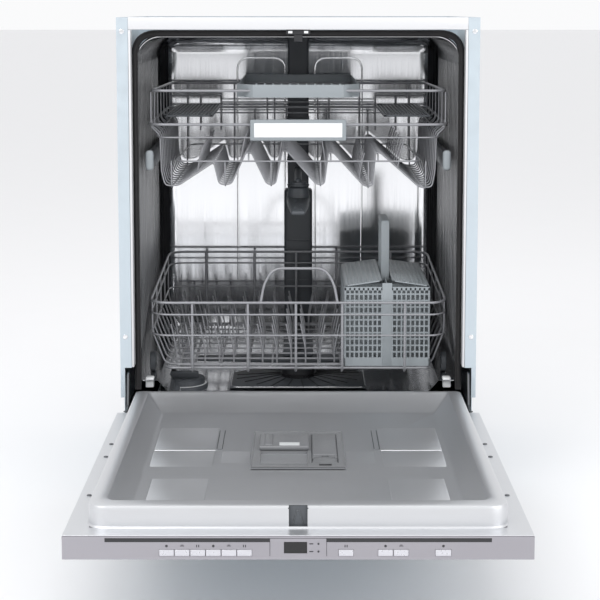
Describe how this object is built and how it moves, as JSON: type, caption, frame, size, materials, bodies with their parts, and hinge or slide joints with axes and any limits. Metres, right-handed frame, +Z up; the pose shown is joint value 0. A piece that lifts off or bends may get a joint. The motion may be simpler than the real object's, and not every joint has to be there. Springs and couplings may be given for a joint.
{
  "type": "built-in dishwasher",
  "caption": "Fully integrated built-in dishwasher with a drop-down door, two wire baskets, cutlery basket, spray arms and key panel on the door's top edge.",
  "frame": {"origin": "centre of the floor area covered by the machine with its door open, on the floor", "axes": "+Z up, +X to the right seen from the front, +Y from the door towards the back"},
  "size_m": [0.598, 1.2402, 0.82],
  "materials": {
    "stainless": "satin",
    "galvanised": "satin",
    "white_enamel": "satin",
    "silver_plastic": "satin",
    "button_silver": "satin",
    "black_plastic": "matte",
    "dark_grey_plastic": "matte",
    "grey_plastic": "matte",
    "white_plastic": "matte",
    "smoked_lens": "gloss",
    "rubber_black": "matte",
    "coated_wire": "satin",
    "spring_steel": "satin",
    "cast_iron": "rough"
  },
  "bodies": {
    "cabinet": {"side_panel_left": "galvanised", "side_panel_right": "galvanised", "front_top_rail": "white_enamel", "door_gasket": "rubber_black", "tub_wrapper": "stainless", "tub_back_wall": "stainless", "tub_floor": "stainless", "rear_panel": "galvanised", "spray_duct": "dark_grey_plastic", "lock_catch": "black_plastic", "base_tray": "black_plastic", "counterweight": "cast_iron", "door_spring_left": "spring_steel", "door_spring_right": "spring_steel", "sump_housing": "dark_grey_plastic", "circulation_pump": "black_plastic", "drain_pump": "black_plastic", "water_softener": "white_plastic", "filter_plate": "dark_grey_plastic"},
    "front_foot_left": {"front_foot_left": "black_plastic"},
    "front_foot_right": {"front_foot_right": "black_plastic"},
    "rear_foot": {"rear_foot": "black_plastic"},
    "door": {"door_outer_panel": "galvanised", "door_inner_liner": "stainless", "control_panel": "silver_plastic", "display_window": "smoked_lens", "hinge_arm_left": "spring_steel", "hinge_arm_right": "spring_steel", "dispenser_housing": "grey_plastic"},
    "detergent_lid": {"detergent_lid": "grey_plastic"},
    "rinse_aid_lid": {"rinse_aid_lid": "grey_plastic"},
    "programme_button_1": {"programme_button_1": "button_silver"},
    "programme_button_2": {"programme_button_2": "button_silver"},
    "programme_button_3": {"programme_button_3": "button_silver"},
    "programme_button_4": {"programme_button_4": "button_silver"},
    "programme_button_5": {"programme_button_5": "button_silver"},
    "programme_button_6": {"programme_button_6": "button_silver"},
    "half_load_button": {"half_load_button": "button_silver"},
    "delay_button": {"delay_button": "button_silver"},
    "extra_dry_button": {"extra_dry_button": "button_silver"},
    "start_button": {"start_button": "button_silver"},
    "salt_cap": {"salt_cap": "dark_grey_plastic"},
    "filter_cup": {"filter_cup": "black_plastic"},
    "lower_spray_arm": {"lower_spray_arm": "dark_grey_plastic"},
    "lower_basket": {"lower_basket": "coated_wire", "cutlery_basket": "grey_plastic"},
    "cutlery_lid_left": {"cutlery_lid_left": "grey_plastic"},
    "cutlery_lid_right": {"cutlery_lid_right": "grey_plastic"},
    "lower_wheel_front_left": {"lower_wheel_front_left": "dark_grey_plastic"},
    "lower_wheel_front_right": {"lower_wheel_front_right": "dark_grey_plastic"},
    "lower_wheel_rear_left": {"lower_wheel_rear_left": "dark_grey_plastic"},
    "lower_wheel_rear_right": {"lower_wheel_rear_right": "dark_grey_plastic"},
    "upper_basket": {"upper_basket": "coated_wire", "upper_basket_handle": "grey_plastic", "utensil_tray": "grey_plastic"},
    "rail_left": {"rail_left": "grey_plastic"},
    "rail_right": {"rail_right": "grey_plastic"},
    "cup_shelf_left": {"cup_shelf_left": "dark_grey_plastic"},
    "cup_shelf_right": {"cup_shelf_right": "dark_grey_plastic"},
    "upper_spray_arm": {"upper_spray_arm": "dark_grey_plastic"}
  },
  "joints": [
    {"name": "door_hinge", "type": "hinge", "parent": "cabinet", "child": "door", "pos_m": [0, 0.0441, 0.15], "axis": [1, 0, 0], "range_deg": [-90, 0]},
    {"name": "lower_basket_slide", "type": "slide", "parent": "cabinet", "child": "lower_basket", "axis": [0, -1, 0], "range_m": [0, 0.5]},
    {"name": "lower_wheel_front_left_spin", "type": "hinge", "parent": "lower_basket", "child": "lower_wheel_front_left", "pos_m": [-0.254, 0.1841, 0.2203], "axis": [1, 0, 0], "range_deg": [0, 1720]},
    {"name": "lower_wheel_front_right_spin", "type": "hinge", "parent": "lower_basket", "child": "lower_wheel_front_right", "pos_m": [0.254, 0.1841, 0.2203], "axis": [1, 0, 0], "range_deg": [0, 1720]},
    {"name": "lower_wheel_rear_left_spin", "type": "hinge", "parent": "lower_basket", "child": "lower_wheel_rear_left", "pos_m": [-0.254, 0.4721, 0.2203], "axis": [1, 0, 0], "range_deg": [0, 1720]},
    {"name": "lower_wheel_rear_right_spin", "type": "hinge", "parent": "lower_basket", "child": "lower_wheel_rear_right", "pos_m": [0.254, 0.4721, 0.2203], "axis": [1, 0, 0], "range_deg": [0, 1720]},
    {"name": "upper_basket_slide", "type": "slide", "parent": "cabinet", "child": "upper_basket", "axis": [0, -1, 0], "range_m": [0, 0.44]},
    {"name": "rail_left_slide", "type": "slide", "parent": "cabinet", "child": "rail_left", "axis": [0, -1, 0], "range_m": [0, 0.22]},
    {"name": "rail_right_slide", "type": "slide", "parent": "cabinet", "child": "rail_right", "axis": [0, -1, 0], "range_m": [0, 0.22]},
    {"name": "lower_spray_arm_spin", "type": "hinge", "parent": "cabinet", "child": "lower_spray_arm", "pos_m": [0, 0.31975, 0.205], "axis": [0, 0, 1], "continuous": true},
    {"name": "upper_spray_arm_spin", "type": "hinge", "parent": "upper_basket", "child": "upper_spray_arm", "pos_m": [0, 0.31975, 0.494], "axis": [0, 0, 1], "continuous": true},
    {"name": "cup_shelf_left_fold", "type": "hinge", "parent": "upper_basket", "child": "cup_shelf_left", "pos_m": [-0.23, 0.3281, 0.652], "axis": [0, -1, 0], "range_deg": [0, 85]},
    {"name": "cup_shelf_right_fold", "type": "hinge", "parent": "upper_basket", "child": "cup_shelf_right", "pos_m": [0.23, 0.3281, 0.652], "axis": [0, 1, 0], "range_deg": [0, 85]},
    {"name": "cutlery_lid_left_hinge", "type": "hinge", "parent": "lower_basket", "child": "cutlery_lid_left", "pos_m": [0.144, 0.2521, 0.373], "axis": [0, 1, 0], "range_deg": [0, 90]},
    {"name": "cutlery_lid_right_hinge", "type": "hinge", "parent": "lower_basket", "child": "cutlery_lid_right", "pos_m": [0.161, 0.2521, 0.373], "axis": [0, -1, 0], "range_deg": [0, 90]},
    {"name": "detergent_lid_slide", "type": "slide", "parent": "door", "child": "detergent_lid", "axis": [0, -1, 0], "range_m": [0, 0.068]},
    {"name": "rinse_aid_lid_hinge", "type": "hinge", "parent": "door", "child": "rinse_aid_lid", "pos_m": [0.0395, -0.2904, 0.1823], "axis": [1, 0, 0], "range_deg": [-90, 0]},
    {"name": "salt_cap_turn", "type": "hinge", "parent": "cabinet", "child": "salt_cap", "pos_m": [-0.205, 0.2504, 0.17], "axis": [0, 0, 1], "range_deg": [0, 360]},
    {"name": "filter_cup_twist", "type": "hinge", "parent": "cabinet", "child": "filter_cup", "pos_m": [0, 0.31975, 0.15], "axis": [0, 0, 1], "range_deg": [0, 90]},
    {"name": "front_foot_left_adjust", "type": "slide", "parent": "cabinet", "child": "front_foot_left", "axis": [0, 0, -1], "range_m": [0, 0.05]},
    {"name": "front_foot_right_adjust", "type": "slide", "parent": "cabinet", "child": "front_foot_right", "axis": [0, 0, -1], "range_m": [0, 0.05]},
    {"name": "rear_foot_adjust", "type": "slide", "parent": "cabinet", "child": "rear_foot", "axis": [0, 0, -1], "range_m": [0, 0.05]},
    {"name": "programme_button_1_press", "type": "slide", "parent": "door", "child": "programme_button_1", "axis": [0, 1, 0], "range_m": [0, 0.0015], "stiffness_N_per_m": 400},
    {"name": "programme_button_2_press", "type": "slide", "parent": "door", "child": "programme_button_2", "axis": [0, 1, 0], "range_m": [0, 0.0015], "stiffness_N_per_m": 400},
    {"name": "programme_button_3_press", "type": "slide", "parent": "door", "child": "programme_button_3", "axis": [0, 1, 0], "range_m": [0, 0.0015], "stiffness_N_per_m": 400},
    {"name": "programme_button_4_press", "type": "slide", "parent": "door", "child": "programme_button_4", "axis": [0, 1, 0], "range_m": [0, 0.0015], "stiffness_N_per_m": 400},
    {"name": "programme_button_5_press", "type": "slide", "parent": "door", "child": "programme_button_5", "axis": [0, 1, 0], "range_m": [0, 0.0015], "stiffness_N_per_m": 400},
    {"name": "programme_button_6_press", "type": "slide", "parent": "door", "child": "programme_button_6", "axis": [0, 1, 0], "range_m": [0, 0.0015], "stiffness_N_per_m": 400},
    {"name": "half_load_button_press", "type": "slide", "parent": "door", "child": "half_load_button", "axis": [0, 1, 0], "range_m": [0, 0.0015], "stiffness_N_per_m": 400},
    {"name": "delay_button_press", "type": "slide", "parent": "door", "child": "delay_button", "axis": [0, 1, 0], "range_m": [0, 0.0015], "stiffness_N_per_m": 400},
    {"name": "extra_dry_button_press", "type": "slide", "parent": "door", "child": "extra_dry_button", "axis": [0, 1, 0], "range_m": [0, 0.0015], "stiffness_N_per_m": 400},
    {"name": "start_button_press", "type": "slide", "parent": "door", "child": "start_button", "axis": [0, 1, 0], "range_m": [0, 0.0015], "stiffness_N_per_m": 400}
  ],
  "couplings": [
    {"joint": "lower_wheel_front_left_spin", "follows": "lower_basket_slide", "rad_per_m": 58.824},
    {"joint": "lower_wheel_front_right_spin", "follows": "lower_basket_slide", "rad_per_m": 58.824},
    {"joint": "lower_wheel_rear_left_spin", "follows": "lower_basket_slide", "rad_per_m": 58.824},
    {"joint": "lower_wheel_rear_right_spin", "follows": "lower_basket_slide", "rad_per_m": 58.824},
    {"joint": "rail_left_slide", "follows": "upper_basket_slide", "ratio": 0.5},
    {"joint": "rail_right_slide", "follows": "upper_basket_slide", "ratio": 0.5}
  ]
}
